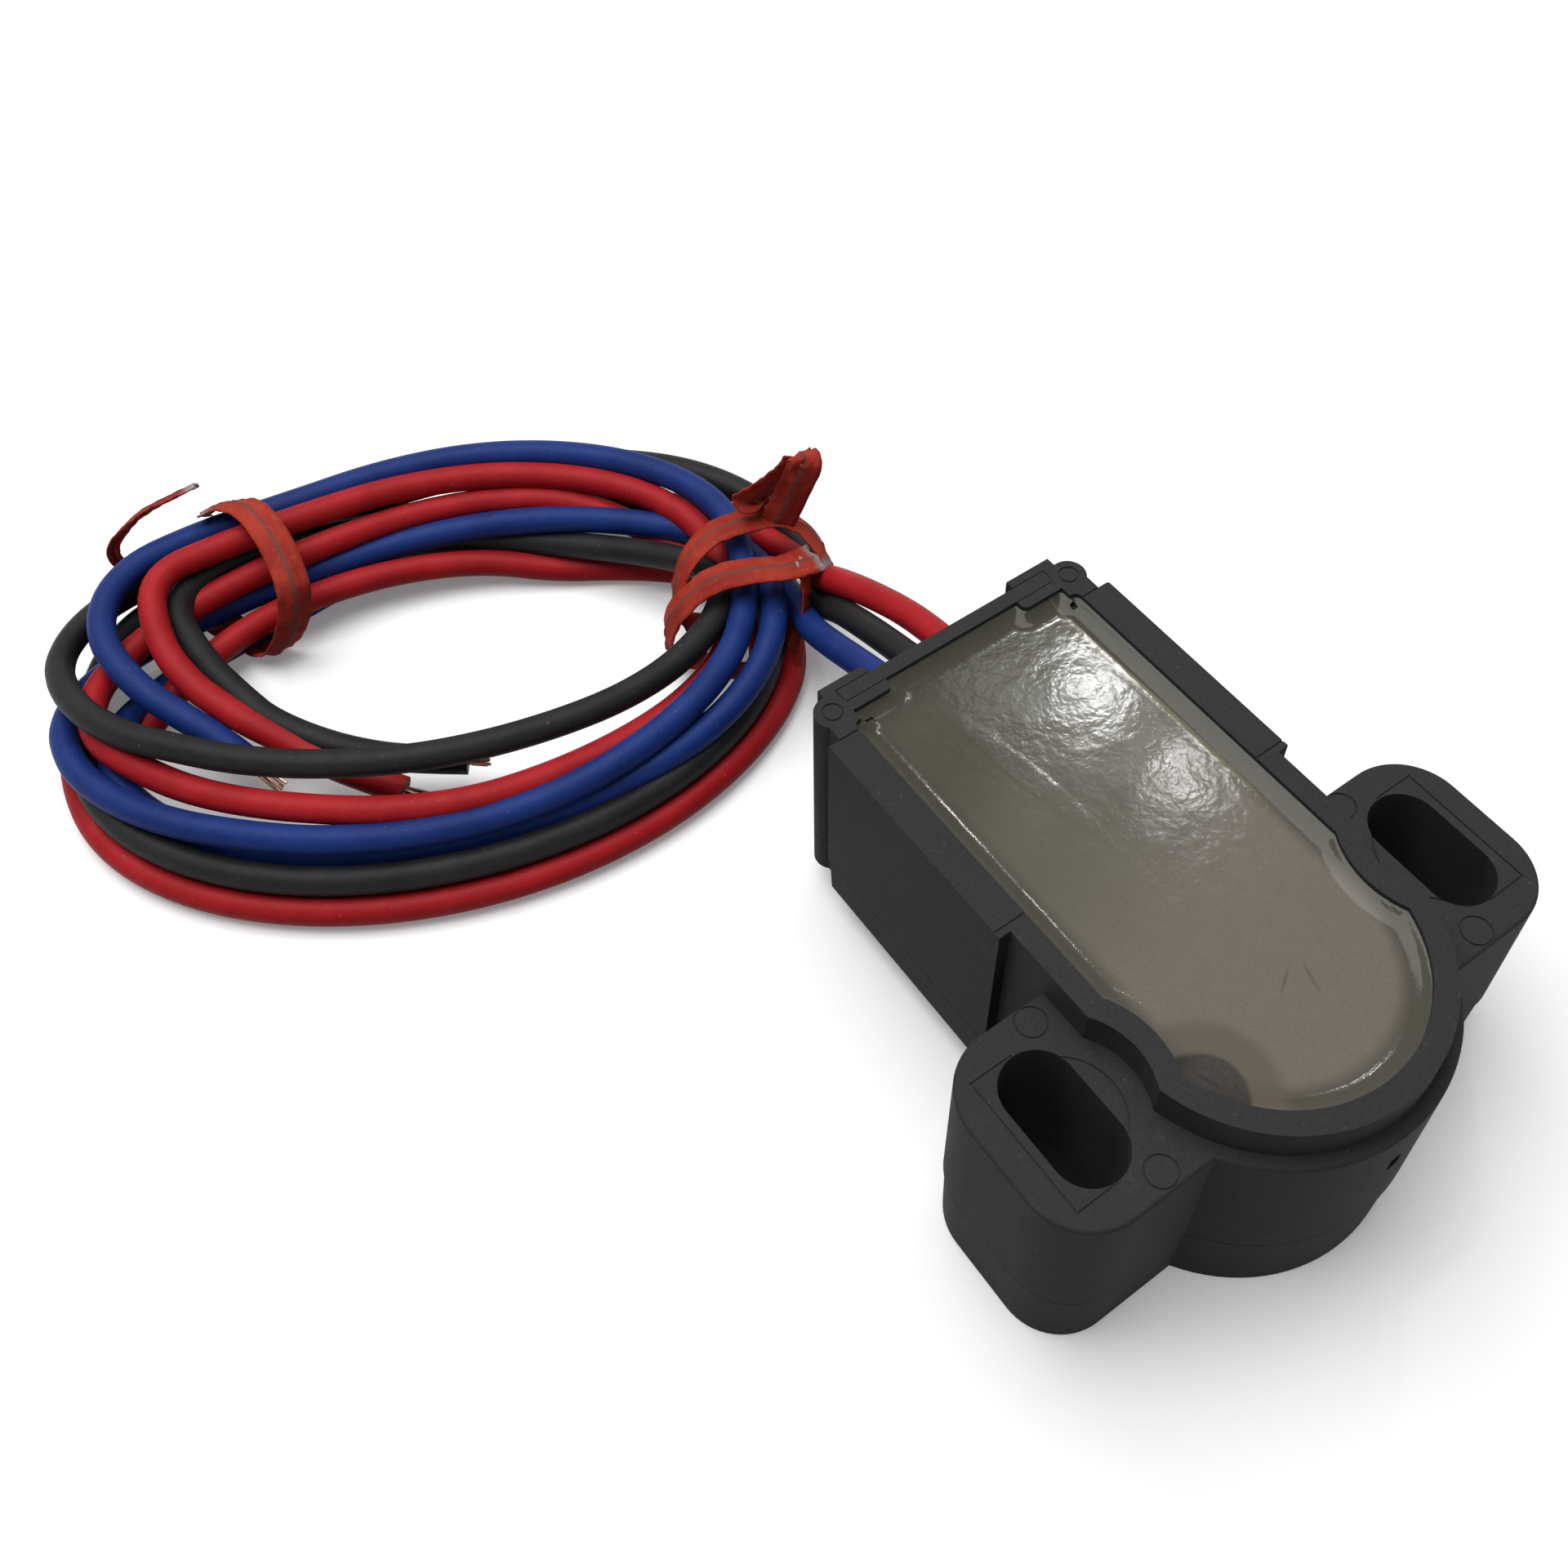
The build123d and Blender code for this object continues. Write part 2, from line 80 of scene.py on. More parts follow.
class Graph:
    """A node tree that is built up by calls."""

    def __init__(self, tree):
        self.tree = tree
        self.tree.nodes.clear()

    def node(self, kind, settings=None, sockets=None, out=0):
        node = self.tree.nodes.new(kind)
        for key, value in (settings or {}).items():
            setattr(node, key, value)
        for key, value in (sockets or {}).items():
            self.feed(node.inputs[key], value)
        return Value(self, node.outputs[out])

    def feed(self, socket, value):
        if isinstance(value, Value):
            self.tree.links.new(value.socket, socket)
        else:
            socket.default_value = value

    def seen(self):
        """1 where the background is looked at, straight or in a reflection."""
        path = "ShaderNodeLightPath"
        reflected = self.node(path, out="Is Glossy Ray") + self.node(path, out="Is Transmission Ray")
        return self.node(path, out="Is Camera Ray") + reflected


class Finish(Graph):
    """One procedural material, read from the object's own coordinates in metres."""

    def __init__(self, name):
        self.material = bpy.data.materials.new(name)
        self.material.use_nodes = True
        super().__init__(self.material.node_tree)
        self.shader = self.tree.nodes.new("ShaderNodeBsdfPrincipled")
        output = self.tree.nodes.new("ShaderNodeOutputMaterial")
        self.tree.links.new(self.shader.outputs[0], output.inputs["Surface"])
        self.place = self.node("ShaderNodeTexCoord", out="Object")

    def noise(self, scale, detail=2.0, roughness=0.5, place=None):
        return self.node("ShaderNodeTexNoise", None, {"Vector": place or self.place, "Scale": scale,
                                                      "Detail": detail, "Roughness": roughness})

    def spot(self, centre, length, width, turn=0.0, edge=0.25):
        """1 inside a soft-edged oval on a level face, 0 outside.

        Half sizes are in metres and the turn in degrees. The edge fades by its share of the size, in and out.
        """
        place = self.node("ShaderNodeMapping", {"vector_type": "TEXTURE"},
                          {"Vector": self.place, "Location": (*centre, 0.0),
                           "Rotation": (0.0, 0.0, math.radians(turn)), "Scale": (length, width, 1.0)})
        reach = self.node("ShaderNodeVectorMath", {"operation": "LENGTH"}, {0: place}, out="Value")
        return self.step(reach, 1.0 + edge, 1.0 - edge)

    def stretched(self, scale):
        return self.node("ShaderNodeMapping", None, {"Vector": self.place, "Scale": scale})

    def axis(self, name):
        return self.node("ShaderNodeSeparateXYZ", None, {"Vector": self.place}, out=name)

    def step(self, value, low, high):
        """Rises smoothly from 0 at low to 1 at high."""
        return self.node("ShaderNodeMapRange", {"interpolation_type": "SMOOTHSTEP"},
                         {"Value": value, "From Min": low, "From Max": high})

    def mix(self, factor, first, second):
        return self.node("ShaderNodeMix", {"data_type": "RGBA"}, {0: factor, 6: first, 7: second}, out=2)

    def bump(self, height, distance, strength=1.0, normal=None):
        sockets = {"Height": height, "Distance": distance, "Strength": strength}
        if normal:
            sockets["Normal"] = normal
        return self.node("ShaderNodeBump", None, sockets)

    def surface(self, **sockets):
        for key, value in sockets.items():
            self.feed(self.shader.inputs[key.replace("_", " ")], value)
        return self.material


def rgb(red, green, blue):
    return (red, green, blue, 1.0)


def moulded_black():
    """Glass-filled black plastic: spark-eroded grain, grey scuffs, a painted shade line along the parting
    step and a little dust.
    """
    f = Finish("moulded_black")
    grain = f.noise(5200.0, 3.0, 0.65)
    cloud = f.noise(160.0, 4.0, 0.6)
    scuff = f.step(f.noise(900.0, 5.0, 0.7), 0.60, 0.72) * f.step(cloud, 0.45, 0.65)
    dust = f.step(f.noise(3400.0, 1.0, 0.4), 0.74, 0.78)
    parting_height = 5.6 * MM
    # Painted shade: the parting step's shade is painted as a near-black line at its height.
    parting_step_shade = f.step(abs(f.axis("Z") - parting_height), 0.13 * MM, 0.05 * MM)
    colour = f.mix(cloud, rgb(0.019, 0.019, 0.0193), rgb(0.029, 0.029, 0.0295))
    colour = f.mix(grain * 0.5, colour, rgb(0.068, 0.068, 0.069))
    colour = f.mix(scuff * 0.3, colour, rgb(0.08, 0.08, 0.081))
    colour = f.mix(dust * 0.2, colour, rgb(0.14, 0.14, 0.135))
    colour = f.mix(parting_step_shade * 0.85, colour, rgb(0.001, 0.001, 0.001))
    relief = f.bump(grain + cloud * 0.4, 0.00009, 0.75)
    return f.surface(Base_Color=colour, Roughness=0.52 + 0.2 * grain - 0.1 * scuff, Normal=relief,
                     Specular_IOR_Level=0.05)


def potting_resin():
    """Cast resin: olive at the lead end, with painted reflection lightening it to warm grey over the rotor
    and a painted reflection streak by the right wall; painted shade darkens it where it is drawn up the
    walls.

    A slotted post shows through it by the near wall, with a brown band round it and painted shade in its
    slit.
    """
    f = Finish("potting_resin")
    along = f.axis("Y")
    across = f.axis("X")
    front = along.least(0.0)
    cloud = f.noise(95.0, 4.0, 0.55)
    mottle = f.noise(520.0, 5.0, 0.65)
    pits = f.noise(1500.0, 2.0, 0.6)
    grain = f.step(f.noise(5200.0, 3.0, 0.7), 0.35, 0.65)
    olive, painted_half_sheen, painted_sheen_grey = rgb(0.060, 0.058, 0.039), rgb(0.106, 0.099, 0.074), rgb(0.168, 0.144, 0.118)
    # Painted reflection: the resin lightens from olive to warm grey towards the front, where its surface
    # mirrors the pale room.
    reach = cloud * 6.0 * MM - along + across * 0.35
    colour = f.mix(f.step(reach, -20.0 * MM, -12.0 * MM), olive, painted_half_sheen)
    colour = f.mix(f.step(reach, -12.0 * MM, 0.0), colour, painted_sheen_grey)
    colour = f.mix(mottle * 0.2, colour, rgb(0.085, 0.080, 0.064))
    # Painted shade: a darker band where the resin meets the side walls and the far end.
    painted_wall_shade = f.step(across * across + front * front + cloud * 4e-6, (7.0 * MM) ** 2, (8.3 * MM) ** 2)
    painted_wall_shade = painted_wall_shade + f.step(along, 24.4 * MM, 26.4 * MM)
    colour = f.mix(painted_wall_shade * 0.8, colour, rgb(0.038, 0.036, 0.023))
    post = (-7.95 * MM, -3.8 * MM)
    band = f.spot(post, 4.2 * MM, 4.2 * MM, edge=0.12)
    disc = f.spot(post, 2.35 * MM, 2.35 * MM, edge=0.08)
    # Painted shade: the post's slit is darkened almost to black.
    painted_slit_shade = f.spot((-7.3 * MM, -3.4 * MM), 0.5 * MM, 0.1 * MM, -63.0)
    colour = f.mix(band * 0.8, colour, rgb(0.105, 0.087, 0.062))
    colour = f.mix(disc * 0.85, colour, rgb(0.012, 0.012, 0.011))
    colour = f.mix(painted_slit_shade * 0.85, colour, rgb(0.004, 0.004, 0.004))
    colour = f.mix(grain * 0.22, colour, rgb(0.085, 0.078, 0.060))
    # Painted reflection: a pale yellowish line where the right wall's edge is mirrored in the resin.
    painted_wall_reflection = f.spot((7.6 * MM, 17.0 * MM), 0.24 * MM, 9.0 * MM, 1.0)
    colour = f.mix(painted_wall_reflection * 0.45, colour, rgb(0.24, 0.22, 0.12))
    long_scratch = f.spot((1.5 * MM, -2.2 * MM), 1.0 * MM, 0.12 * MM, 73.0)
    short_scratch = f.spot((0.2 * MM, -1.5 * MM), 0.85 * MM, 0.10 * MM, 32.0)
    colour = f.mix((long_scratch + short_scratch) * 0.42, colour, rgb(0.07, 0.06, 0.05))
    wrinkle = f.spot((-2.5 * MM, 17.5 * MM), 6.0 * MM, 0.8 * MM, 98.0)
    ripple = f.noise(150.0, 2.0, 0.45)
    swell = f.noise(420.0, 1.0, 0.4)
    relief = f.bump(ripple, 0.8 * MM, 0.06)
    relief = f.bump(swell, 0.03 * MM, 0.3, relief)
    relief = f.bump(pits + wrinkle * mottle * 1.2, 0.013 * MM, 0.7, relief)
    return f.surface(Base_Color=colour, Roughness=0.06 + 0.1 * mottle + 0.45 * disc, Normal=relief,
                     Specular_IOR_Level=0.2)


def wire_jacket(name, deep, pale, dusty):
    """Matt PVC insulation with faint draw marks, scuffs and clinging dust."""
    f = Finish(name)
    cloud = f.noise(240.0, 3.0, 0.6)
    fine = f.noise(3800.0, 3.0, 0.6)
    scratch = f.step(f.noise(1500.0, 4.0, 0.75), 0.64, 0.72)
    dust = f.step(f.noise(2900.0, 2.0, 0.5), 0.72, 0.77)
    colour = f.mix(f.step(cloud, 0.3, 0.7), deep, pale)
    colour = f.mix(scratch * 0.15, colour, dusty)
    colour = f.mix(dust * 0.15, colour, rgb(0.42, 0.42, 0.42))
    relief = f.bump(fine + cloud * 0.6, 0.00005, 0.5)
    return f.surface(Base_Color=colour, Roughness=0.44 + 0.18 * fine, Normal=relief, Specular_IOR_Level=0.16)


def tie_paper():
    """Waxed red-orange paper, crinkled: rubbed pale creases, a dull ridge over the wire, torn grey ends."""
    f = Finish("tie_paper")
    crease = f.noise(1100.0, 5.0, 0.7)
    cloud = f.noise(300.0, 3.0, 0.6)
    fibre = f.noise(5200.0, 3.0, 0.7)
    rubbed = f.step(crease, 0.56, 0.68)
    ridge = f.node("ShaderNodeAttribute", {"attribute_name": "ridge"}, None, out="Fac")
    colour = f.mix(f.step(cloud, 0.3, 0.7), rgb(0.29, 0.022, 0.014), rgb(0.42, 0.046, 0.024))
    colour = f.mix(rubbed * 0.4, colour, rgb(0.46, 0.10, 0.065))
    colour = f.mix(f.step(ridge + crease * 0.35, 0.82, 1.05) * 0.75, colour, rgb(0.13, 0.055, 0.048))
    torn = f.node("ShaderNodeAttribute", {"attribute_name": "torn"}, None, out="Fac")
    colour = f.mix(f.step(torn + fibre * 0.5, 0.75, 1.1), colour, rgb(0.36, 0.31, 0.30))
    relief = f.bump(crease * 0.8 + fibre * 0.25, 0.00022, 0.8)
    return f.surface(Base_Color=colour, Roughness=0.48 + 0.3 * crease, Normal=relief, Specular_IOR_Level=0.12)


def bright_metal(name, tint, dull, polish):
    """Plated or stamped metal with fine scratches and a dull film."""
    f = Finish(name)
    film = f.noise(420.0, 4.0, 0.6)
    scratch = f.noise(2600.0, 3.0, 0.6, f.stretched((1.0, 0.12, 1.0)))
    colour = f.mix(f.step(film, 0.35, 0.7), tint, dull)
    return f.surface(Base_Color=colour, Metallic=1.0, Roughness=polish + 0.22 * scratch,
                     Normal=f.bump(scratch, 0.00002, 0.5))


def plain_moulding(name, deep, pale, gloss):
    """Small moulded or fired parts with a fine even grain."""
    f = Finish(name)
    grain = f.noise(4200.0, 3.0, 0.6)
    cloud = f.noise(380.0, 3.0, 0.6)
    colour = f.mix(cloud * 0.6 + grain * 0.4, deep, pale)
    return f.surface(Base_Color=colour, Roughness=gloss + 0.2 * grain, Normal=f.bump(grain, 0.00004, 0.6))


housing_finish = moulded_black()
rotor_finish = plain_moulding("rotor_moulding", rgb(0.014, 0.014, 0.015), rgb(0.04, 0.04, 0.042), 0.32)
cad_finishes = {
    "housing": housing_finish,
    "wire_retainer": housing_finish,
    "rotor": rotor_finish,
    "hall_chip": plain_moulding("chip_moulding", rgb(0.01, 0.01, 0.01), rgb(0.03, 0.03, 0.03), 0.4),
    "circuit_board": plain_moulding("solder_mask", rgb(0.008, 0.07, 0.03), rgb(0.014, 0.1, 0.045), 0.25),
    "supply_capacitor": plain_moulding("ceramic_tan", rgb(0.3, 0.2, 0.11), rgb(0.42, 0.3, 0.18), 0.35),
    "output_capacitor": plain_moulding("ceramic_tan_small", rgb(0.3, 0.2, 0.11), rgb(0.42, 0.3, 0.18), 0.35),
    "output_resistor": plain_moulding("resistor_glaze", rgb(0.012, 0.012, 0.014), rgb(0.03, 0.03, 0.035),
                                      0.2),
    "surge_diode": plain_moulding("diode_moulding", rgb(0.012, 0.012, 0.012), rgb(0.03, 0.03, 0.03), 0.4),
    "solder_joints": bright_metal("solder", rgb(0.62, 0.62, 0.6), rgb(0.4, 0.4, 0.39), 0.22),
    "magnet": bright_metal("nickel_plate", rgb(0.62, 0.61, 0.58), rgb(0.45, 0.44, 0.42), 0.18),
    "rotor_retainer": bright_metal("stamped_steel", rgb(0.55, 0.55, 0.54), rgb(0.36, 0.36, 0.355), 0.26),
    "thrust_washer": bright_metal("washer_steel", rgb(0.55, 0.55, 0.54), rgb(0.38, 0.38, 0.37), 0.26),
    "seal_ring": plain_moulding("seal_rubber", rgb(0.008, 0.008, 0.008), rgb(0.02, 0.02, 0.02), 0.38),
}
for name, material in cad_finishes.items():
    nodes[name].data.materials.clear()
    nodes[name].data.materials.append(material)


def add(name, data):
    """Puts an object in the scene."""
    made = bpy.data.objects.new(name, data)
    bpy.context.scene.collection.objects.link(made)
    return made


def add_mesh(name, bm, material):
    """Puts a finished bmesh in the scene."""
    mesh = bpy.data.meshes.new(name)
    bm.to_mesh(mesh)
    bm.free()
    mesh.materials.append(material)
    return add(name, mesh)


def piece(name, bm, material):
    """Puts a finished bmesh in the scene as a piece of the sensor body."""
    made = add_mesh(name, bm, material)
    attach(made, "sensor_body")
    return made


# Potting with its meniscus

def potting_fill():
    """The potting solid under a fine sheet of resin that is drawn up wherever it nears a wall."""
    cell = 0.2 * MM
    skin = 0.015 * MM
    rise, reach, steepness = 0.5 * MM, 1.5 * MM, 2.5
    probe_depth = 2 * MM
    bm = bmesh.new()
    bm.from_mesh(nodes["potting"].data)
    level = max(v.co.z for v in bm.verts)
    walls = bm.copy()
    not_walls = [face for face in walls.faces
                 if abs(face.normal.z) > 0.1 or max(v.co.z for v in face.verts) < level - 1e-6]
    bmesh.ops.delete(walls, geom=not_walls, context="FACES")
    nearest = BVHTree.FromBMesh(walls)
    walls.free()
    corners = [v.co for v in bm.verts]
    left, right = min(c.x for c in corners), max(c.x for c in corners)
    near, far = min(c.y for c in corners), max(c.y for c in corners)
    columns = round((right - left) / cell) + 2
    rows = round((far - near) / cell) + 2
    spread = Matrix.Diagonal((columns * cell, rows * cell, 1.0, 1.0))
    middle = Matrix.Translation(((left + right) / 2, (near + far) / 2, level))
    sheet = bmesh.ops.create_grid(bm, x_segments=columns, y_segments=rows, size=0.5,
                                  matrix=middle @ spread)["verts"]
    outside = []
    for vert in sheet:
        spot = Vector((vert.co.x, vert.co.y, level - probe_depth))
        place, normal, _, gap = nearest.find_nearest(spot)
        inside = gap if (place - spot).dot(normal) > 0 else -gap
        if inside < -1.5 * cell:
            outside.append(vert)
        vert.co.z += skin + rise * max(1.0 - max(inside, 0.0) / reach, 0.0) ** steepness
    bmesh.ops.delete(bm, geom=outside, context="VERTS")
    fill = piece("potting_fill", bm, potting_resin())
    for polygon in fill.data.polygons:
        polygon.use_smooth = len(polygon.vertices) == 4
    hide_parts("potting")


potting_fill()


# Leads and coil, each wire as one smooth line

WIRE = 2.06 * MM
COIL_CENTRE = Vector((-24.1, 55.6)) * MM
COIL_TURN = math.radians(-19.8)
COIL_HALF_LENGTH = 23.6 * MM
COIL_HALF_BREADTH = 14.4 * MM
STEPS_PER_TURN = 24
# Lowest middle line of a wire, in millimetres: half a wire and a little air
LOWEST = 1.06


def coil_point(turns, out, up):
    """A point of the coil: turns counted from the right tie, millimetres out of its middle line and up."""
    angle = 2 * math.pi * turns
    x = (COIL_HALF_LENGTH + out * MM) * math.cos(angle)
    y = (COIL_HALF_BREADTH + out * MM) * math.sin(angle)
    return Vector((COIL_CENTRE.x + x * math.cos(COIL_TURN) - y * math.sin(COIL_TURN),
                   COIL_CENTRE.y + x * math.sin(COIL_TURN) + y * math.cos(COIL_TURN), up * MM))


def between(keys, turns):
    """The distance out and the height at a place in the winding, on a smooth line through the keys."""
    i = 0
    while i < len(keys) - 2 and turns > keys[i + 1][0]:
        i += 1
    before, start = keys[max(i - 1, 0)], keys[i]
    end, after = keys[i + 1], keys[min(i + 2, len(keys) - 1)]
    span = end[0] - start[0]
    s = (turns - start[0]) / span
    eased = []
    for k in (1, 2):
        leaving = span * (end[k] - before[k]) / (end[0] - before[0])
        arriving = span * (after[k] - start[k]) / (after[0] - start[0])
        eased.append(start[k] + leaving * s + (3 * (end[k] - start[k]) - 2 * leaving - arriving) * s ** 2
                     + (2 * (start[k] - end[k]) + leaving + arriving) * s ** 3)
    return eased[0], max(eased[1], LOWEST)


def wind(lead, keys):
    """The lead's route points followed by the turns of the coil."""
    points = [Vector(point) * MM for point in lead]
    first, last = keys[0][0], keys[-1][0]
    count = round((last - first) * STEPS_PER_TURN)
    for i in range(count + 1):
        turns = first + (last - first) * i / count
        points.append(coil_point(turns, *between(keys, turns)))
    return points


def wire(name, points, material):
    """One insulated wire, a smooth tube along its points."""
    curve = bpy.data.curves.new(name, "CURVE")
    curve.dimensions = "3D"
    curve.bevel_depth = WIRE / 2
    curve.bevel_resolution = 5
    curve.resolution_u = 8
    curve.use_fill_caps = True
    spline = curve.splines.new("NURBS")
    spline.points.add(len(points) - 1)
    for knot, point in zip(spline.points, points):
        knot.co = (*point, 1.0)
    spline.order_u = 3
    spline.use_endpoint_u = True
    curve.materials.append(material)
    made = add(name, curve)
    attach(made, "sensor_body")
    return made


# Keys of each winding: turns, then millimetres out and up
red_keys = [
    (0.00, 4.8, 5.6), (0.05, 3.8, 4.6), (0.10, 3.6, 3.6), (0.22, 3.4, 2.8), (0.32, 3.2, 1.1),
    (0.38, 4.6, 1.1), (0.44, 4.3, 1.1), (0.50, 3.1, 1.1), (0.62, 3.0, 1.1), (0.75, 3.1, 1.1),
    (0.88, 2.7, 1.1),
    (1.00, 2.5, 1.1), (1.12, -1.8, 1.1), (1.17, -2.9, 1.1), (1.22, -2.4, 2.1), (1.32, -2.4, 2.8),
    (1.41, -2.6, 2.4), (1.46, -1.6, 1.1), (1.50, 0.4, 1.1), (1.62, 0.5, 1.1), (1.75, 0.6, 1.1),
    (1.88, 0.7, 1.1),
    (2.00, 0.3, 1.1), (2.04, -0.3, 2.5), (2.07, -0.6, 3.1), (2.12, 0.3, 3.6), (2.17, 1.4, 4.7),
    (2.22, 1.3, 4.9), (2.32, -0.1, 5.2), (2.40, 0.9, 4.7), (2.48, 1.4, 5.0), (2.55, -1.6, 5.2),
    (2.65, -2.6, 5.4), (2.75, -1.5, 5.4), (2.82, -1.9, 5.0), (2.90, -2.0, 4.5),
    (3.00, -1.5, 4.3), (3.03, -0.7, 4.8), (3.06, -0.2, 5.7), (3.12, 1.9, 5.9), (3.22, 2.7, 6.4),
    (3.32, 1.5, 7.3), (3.36, 2.3, 7.6), (3.39, 2.5, 7.6), (3.43, -3.0, 6.7), (3.50, -8.3, 5.6),
    (3.59, -9.2, 4.6), (3.65, -8.0, 3.7), (3.69, -6.4, 3.0), (3.715, -5.5, 2.6),
]
black_keys = [
    (-0.015, 4.9, 4.2), (0.03, 5.7, 4.7), (0.07, 5.6, 5.7), (0.12, 5.3, 6.0), (0.22, 4.7, 4.7),
    (0.31, 4.0, 3.9), (0.36, 5.3, 4.2), (0.40, 6.1, 4.9), (0.43, 5.6, 5.4), (0.46, 3.6, 6.3),
    (0.49, 1.0, 6.9), (0.52, -1.2, 7.1), (0.56, -3.6, 7.2), (0.62, -4.9, 7.0), (0.69, -5.2, 6.8),
    (0.74, -5.1, 6.6), (0.80, -4.9, 6.5), (0.87, -4.2, 6.4), (0.94, -3.4, 6.4),
    (1.00, -2.2, 6.3), (1.12, -2.6, 3.8), (1.17, -1.7, 2.9), (1.22, -0.2, 2.2), (1.32, 1.9, 2.8),
    (1.36, 3.8, 3.0), (1.39, 4.5, 3.1), (1.43, 3.6, 2.6), (1.47, 2.3, 1.8), (1.52, 2.0, 2.8),
    (1.60, 1.7, 2.9), (1.69, 1.8, 2.9), (1.79, 1.8, 2.9), (1.88, 1.5, 2.9),
    (2.00, 1.2, 2.9), (2.05, 1.8, 3.0), (2.12, 1.6, 3.0), (2.17, 1.9, 2.7), (2.22, 1.6, 3.0),
    (2.32, 2.0, 4.9), (2.37, 2.4, 5.6), (2.40, -1.3, 6.3), (2.432, -6.4, 5.7), (2.47, -9.2, 5.3),
    (2.52, -10.4, 5.0), (2.60, -10.0, 4.5), (2.68, -8.3, 3.9), (2.74, -7.0, 3.2), (2.757, -6.7, 3.1),
]
blue_keys = [
    (-0.02, 3.4, 4.0), (0.03, 3.3, 2.2), (0.10, 3.8, 1.1), (0.22, 2.6, 1.1), (0.32, -1.5, 1.1),
    (0.41, -1.0, 1.1), (0.50, 0.2, 3.0), (0.62, -0.4, 2.9), (0.75, -0.3, 2.9), (0.82, 0.2, 3.6),
    (0.90, 1.4, 5.1),
    (1.00, 1.4, 6.1), (1.06, 1.4, 4.7), (1.12, -0.3, 4.8), (1.17, -0.7, 4.7), (1.22, -0.7, 4.2),
    (1.32, -0.3, 3.2), (1.40, 1.6, 3.0), (1.47, 3.6, 3.9), (1.55, 1.3, 4.5), (1.63, -0.2, 4.8),
    (1.70, -0.2, 4.8), (1.78, -0.1, 4.9), (1.88, -0.5, 6.2),
    (2.00, -0.7, 6.7), (2.06, 1.6, 7.3), (2.12, 3.5, 7.1), (2.22, 4.6, 6.8), (2.32, 3.7, 6.8),
    (2.36, 5.2, 7.2), (2.39, 5.1, 7.4), (2.42, 3.1, 7.4), (2.45, -0.4, 7.0), (2.48, -3.6, 6.3),
    (2.52, -6.4, 5.3), (2.56, -7.2, 4.4), (2.59, -6.9, 3.8),
]
# Each lead from the housing to its coil, in millimetres
red_lead = [(2.6, 24.4, 13.0), (2.6, 29.6, 13.0), (2.7, 34.6, 11.9), (2.6, 39.2, 9.9), (2.6, 42.9, 7.8)]
black_lead = [(0.0, 24.4, 13.0), (0.0, 29.6, 13.0), (0.2, 34.4, 11.3), (1.0, 39.0, 8.5), (1.7, 42.2, 6.1)]
blue_lead = [(-2.6, 24.4, 13.0), (-2.6, 29.6, 13.0), (-2.4, 34.2, 11.1), (-1.7, 38.2, 8.5), (-0.7, 41.8, 5.8)]

red_jacket = wire_jacket("red_jacket", rgb(0.31, 0.008, 0.011), rgb(0.40, 0.013, 0.017),
                         rgb(0.5, 0.2, 0.2))
black_jacket = wire_jacket("black_jacket", rgb(0.007, 0.0075, 0.008), rgb(0.014, 0.0145, 0.015),
                           rgb(0.1, 0.1, 0.1))
blue_jacket = wire_jacket("blue_jacket", rgb(0.006, 0.022, 0.13), rgb(0.009, 0.033, 0.18),
                          rgb(0.12, 0.16, 0.3))
red_wire = wire("red_wire", wind(red_lead, red_keys), red_jacket)
black_wire = wire("black_wire", wind(black_lead, black_keys), black_jacket)
blue_wire = wire("blue_wire", wind(blue_lead, blue_keys), blue_jacket)
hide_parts("lead_red", "wire_coil")
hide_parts("lead_black")
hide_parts("lead_blue")


# Stripped ends

def bare_strands(name, wire_object, length):
    """Fine copper strands, slightly spread, that stand out of a wire's cut end by a length in millimetres."""
    around = 6
    root_radius, tip_radius, ring = 0.13 * MM, 0.11 * MM, 0.26 * MM
    points = [Vector(knot.co[:3]) for knot in wire_object.data.splines[0].points]
    end = points[-1]
    along = (points[-1] - points[-2]).normalized()
    side = along.cross(Vector((0, 0, 1))).normalized()
    over = side.cross(along)
    bm = bmesh.new()
    for i in range(around + 1):
        angle = 2 * math.pi * i / around
        spread = 0.0 if i == around else 1.0
        lean = side * math.cos(angle) * spread + over * math.sin(angle) * spread
        made = bmesh.ops.create_cone(bm, cap_ends=True, segments=6, radius1=root_radius, radius2=tip_radius,
                                     depth=length * (1.0 - 0.06 * i) * MM)["verts"]
        tip = (along + lean * (0.05 + 0.02 * (i % 3))).normalized()
        turn = Vector((0, 0, 1)).rotation_difference(tip).to_matrix().to_4x4()
        place = end + lean * ring + tip * length * 0.5 * MM
        bmesh.ops.transform(bm, matrix=Matrix.Translation(place) @ turn, verts=made)
    strands = piece(name, bm, copper_finish)
    return strands


copper_finish = bright_metal("bare_copper", rgb(0.34, 0.20, 0.14), rgb(0.16, 0.08, 0.05), 0.24)
red_ends = bare_strands("red_strands", red_wire, 3.0)
black_ends = bare_strands("black_strands", black_wire, 1.6)
blue_ends = bare_strands("blue_strands", blue_wire, 3.4)


# Twist ties

BUNDLE_HEIGHT = 4.2
STEPS_PER_POINT = 6


